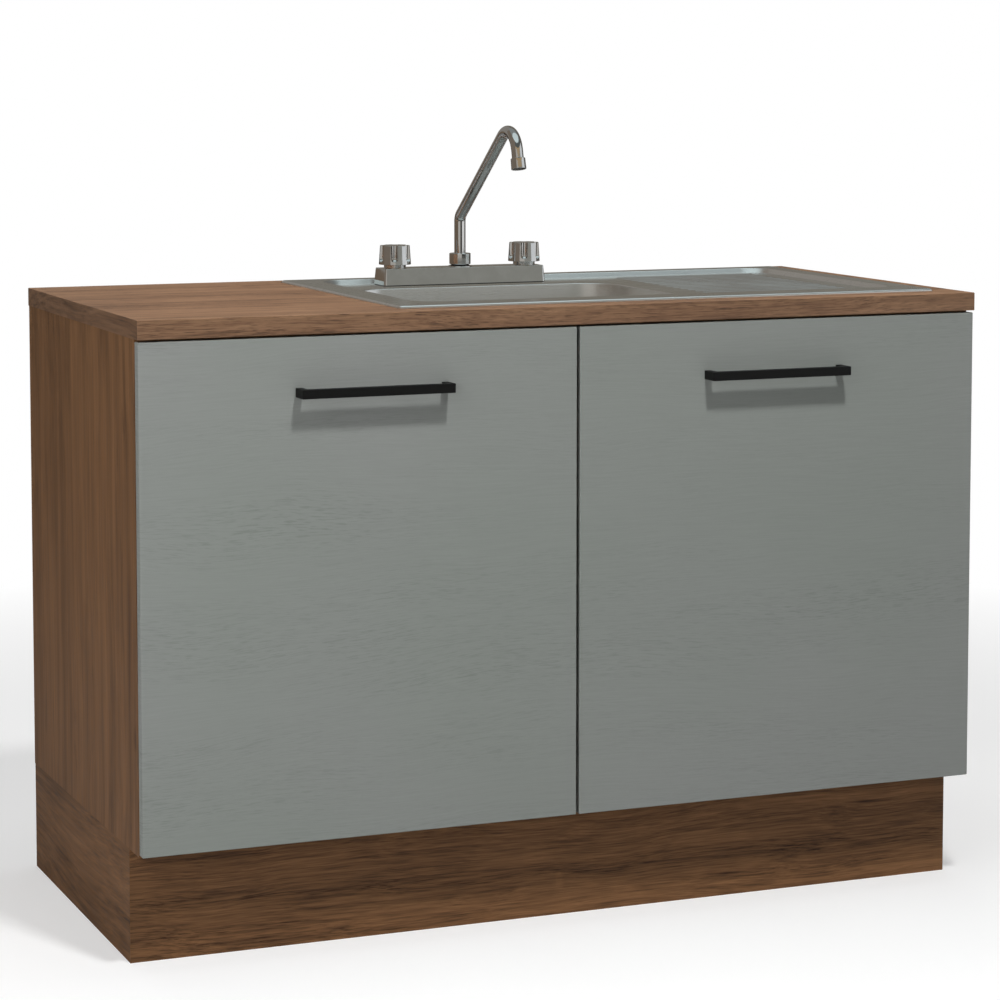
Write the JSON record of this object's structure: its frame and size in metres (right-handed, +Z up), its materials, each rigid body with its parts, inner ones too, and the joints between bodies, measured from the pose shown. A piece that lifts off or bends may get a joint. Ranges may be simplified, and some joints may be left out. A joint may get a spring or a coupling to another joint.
{
  "type": "kitchen sink unit",
  "caption": "Low kitchen cabinet with hinged doors, a recessed plinth, a wood-effect worktop, an inset steel sink with a ribbed drainer, and a tap with a swivelling spout.",
  "frame": {"origin": "on the floor under the middle of the unit's bounding box", "axes": "+X along the front to the right, +Y towards the wall, +Z up"},
  "size_m": [1.2, 0.606, 1.0655],
  "materials": {
    "walnut_decor": "satin walnut decor",
    "softwood": "plain sawn wood",
    "hardboard": "smooth hardboard",
    "door_paint": "matt grey foil with a fine grain",
    "handle_black": "satin black",
    "sink_steel": "brushed",
    "chrome": "polished",
    "zinc": "zinc plated",
    "brass": "cast and turned",
    "rubber": "matt",
    "foam": "matt foam",
    "white_plastic": "smooth",
    "grey_plastic": "smooth",
    "clear_plastic": "soft clear"
  },
  "bodies": {
    "cabinet": {"side_panel_right": "walnut_decor", "side_panel_left": "walnut_decor", "bottom_panel": "walnut_decor", "back_panel": "hardboard", "front_rail": "walnut_decor", "rear_rail": "walnut_decor", "centre_stile": "walnut_decor", "cam_discs": "zinc", "worktop": "walnut_decor", "worktop_brackets": "zinc", "plinth_front": "walnut_decor", "plinth_rear": "walnut_decor", "plinth_side_right": "walnut_decor", "plinth_side_left": "walnut_decor", "plinth_support": "walnut_decor", "plinth_corner_blocks": "softwood", "sink": "sink_steel", "sink_seal": "foam", "sink_clips": "zinc", "waste_body": "sink_steel", "waste_gasket": "rubber", "waste_locknut": "grey_plastic", "trap_inlet_nut": "white_plastic", "trap_inlet_tube": "white_plastic", "trap_body": "white_plastic", "trap_neck_nut": "white_plastic", "trap_cup": "white_plastic", "outlet_pipe": "white_plastic", "outlet_nut": "white_plastic", "tap_base": "chrome", "tap_gasket": "rubber", "tap_waterway": "brass", "inlet_tails": "brass", "tap_nuts": "brass", "valve_bonnets": "brass", "spout_collar": "chrome", "spout_nut": "chrome", "hinge_arms_right": "zinc", "hinge_arms_left": "zinc", "hinge_plates_right": "zinc", "hinge_plates_left": "zinc"},
    "left_door": {"door_panel_left": "door_paint", "handle_left": "handle_black", "handle_screws_left": "zinc", "door_bumpers_left": "clear_plastic", "hinge_cups_left": "zinc"},
    "right_door": {"door_panel_right": "door_paint", "handle_right": "handle_black", "handle_screws_right": "zinc", "door_bumpers_right": "clear_plastic", "hinge_cups_right": "zinc"},
    "spout": {"spout_tube": "chrome", "aerator": "chrome", "aerator_screen": "grey_plastic"},
    "left_knob": {"knob_left": "chrome", "spindle_left": "brass"},
    "right_knob": {"knob_right": "chrome", "spindle_right": "brass"},
    "basket": {"strainer_basket": "sink_steel"}
  },
  "joints": [
    {"name": "left_door_hinge", "type": "hinge", "parent": "cabinet", "child": "left_door", "pos_m": [-0.59173, -0.2685, 0.48], "axis": [0, 0, -1], "range_deg": [0, 90]},
    {"name": "right_door_hinge", "type": "hinge", "parent": "cabinet", "child": "right_door", "pos_m": [0.59173, -0.2685, 0.48], "axis": [0, 0, 1], "range_deg": [0, 90]},
    {"name": "spout_swivel", "type": "hinge", "parent": "cabinet", "child": "spout", "pos_m": [0.022, 0.2106, 0.8555], "axis": [0, 0, 1], "continuous": true},
    {"name": "left_knob_turn", "type": "hinge", "parent": "cabinet", "child": "left_knob", "pos_m": [-0.0796, 0.2106, 0.8555], "axis": [0, 0, 1], "range_deg": [0, 90]},
    {"name": "right_knob_turn", "type": "hinge", "parent": "cabinet", "child": "right_knob", "pos_m": [0.1236, 0.2106, 0.8555], "axis": [0, 0, -1], "range_deg": [0, 90]},
    {"name": "basket_lift", "type": "slide", "parent": "cabinet", "child": "basket", "axis": [0, 0, 1], "range_m": [0, 0.1]}
  ]
}
